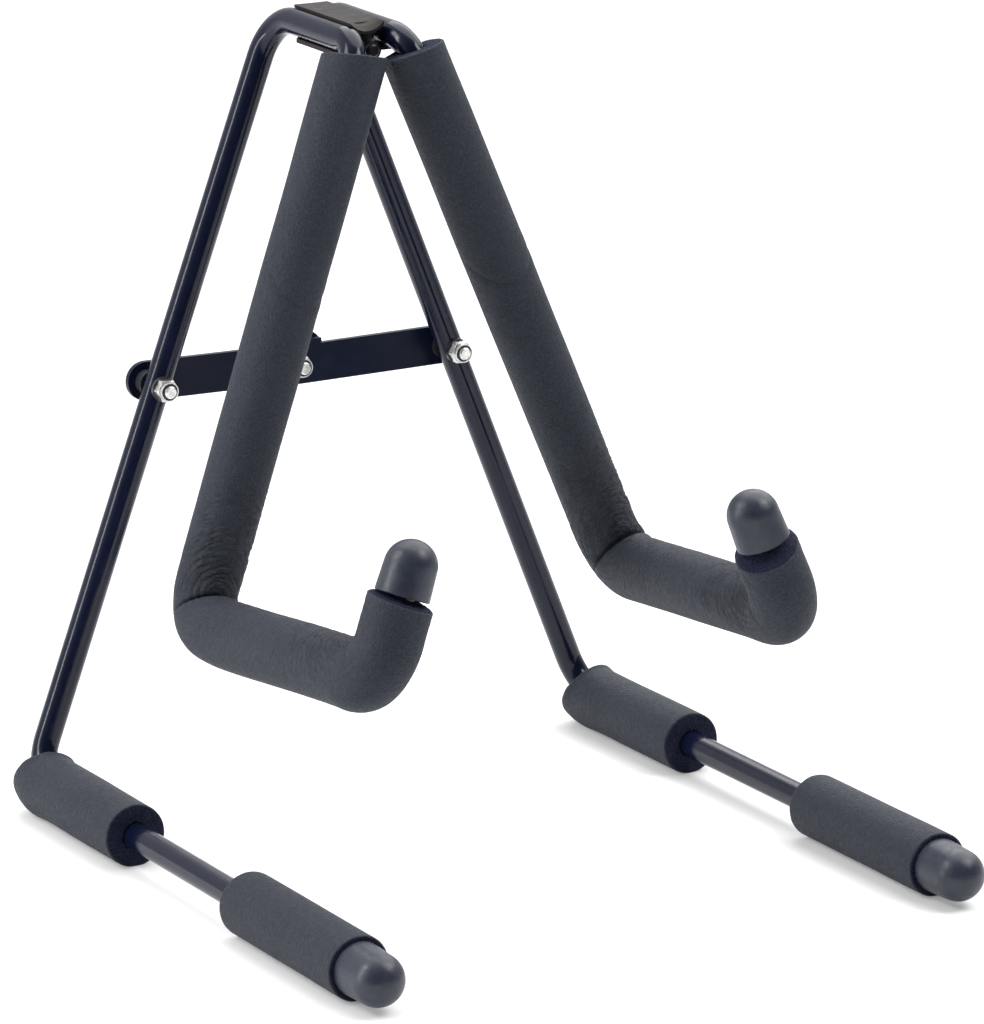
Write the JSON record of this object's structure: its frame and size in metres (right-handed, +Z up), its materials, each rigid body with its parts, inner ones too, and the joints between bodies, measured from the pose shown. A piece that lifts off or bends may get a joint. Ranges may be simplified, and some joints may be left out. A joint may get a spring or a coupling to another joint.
{
  "type": "folding instrument stand",
  "caption": "Folding A-frame instrument stand of bent tubes with foam-covered arms, cradles and hooks, domed rubber caps and a hinged two-bar brace.",
  "frame": {"origin": "centre of the bounding box at floor level", "axes": "+Z up, +Y towards the rear legs and the brace so the front with the hooks faces -Y, +X to the right of someone who looks at the front of the stand, along the width"},
  "size_m": [0.3298, 0.379, 0.3757],
  "materials": {
    "black_enamel": "glossy",
    "satin_black": "satin",
    "bracket_enamel": "satin",
    "black_steel": "semi-gloss",
    "black_washer": "satin",
    "zinc": "bright zinc plate",
    "nylon": "matte",
    "foam": "matte fine-pebbled closed-cell foam",
    "cap_rubber": "semi-gloss"
  },
  "bodies": {
    "left_frame": {"frame_tube_left": "black_enamel", "arm_foam_left": "foam", "foot_foam_rear_left": "foam", "foot_foam_front_left": "foam", "foot_cap_left": "cap_rubber", "hook_cap_left": "cap_rubber", "brace_bolt_left": "zinc", "brace_washer_left": "black_washer", "brace_spacer_left": "black_washer", "brace_nut_left": "zinc", "brace_nut_insert_left": "nylon", "hinge_bracket_left": "bracket_enamel", "hinge_bolt": "black_steel", "hinge_washer": "black_washer", "hinge_nut": "black_steel", "hinge_nut_insert": "nylon"},
    "right_frame": {"frame_tube_right": "black_enamel", "arm_foam_right": "foam", "foot_foam_rear_right": "foam", "foot_foam_front_right": "foam", "foot_cap_right": "cap_rubber", "hook_cap_right": "cap_rubber", "brace_bolt_right": "zinc", "brace_washer_right": "black_washer", "brace_spacer_right": "black_washer", "brace_nut_right": "zinc", "brace_nut_insert_right": "nylon", "hinge_bracket_right": "bracket_enamel"},
    "left_link": {"brace_bar_left": "satin_black", "centre_bolt_head": "zinc"},
    "right_link": {"brace_bar_right": "satin_black", "centre_bolt_end": "zinc", "centre_washer": "black_washer", "centre_nut": "zinc", "centre_nut_insert": "nylon"}
  },
  "joints": [
    {"name": "fold", "type": "hinge", "parent": "left_frame", "child": "right_frame", "pos_m": [0, 0.1335, 0.362], "axis": [0, 1, 0], "range_deg": [0, 34]},
    {"name": "brace_left", "type": "hinge", "parent": "left_frame", "child": "left_link", "pos_m": [-0.07958, 0.17045, 0.19604], "axis": [0, -1, 0], "range_deg": [0, 53.44]},
    {"name": "brace_right", "type": "hinge", "parent": "right_frame", "child": "right_link", "pos_m": [0.07958, 0.17045, 0.19604], "axis": [0, 1, 0], "range_deg": [0, 53.44]}
  ],
  "couplings": [
    {"joint": "brace_left", "follows": "fold", "ratio": 1.5719},
    {"joint": "brace_right", "follows": "fold", "ratio": 1.5719}
  ]
}
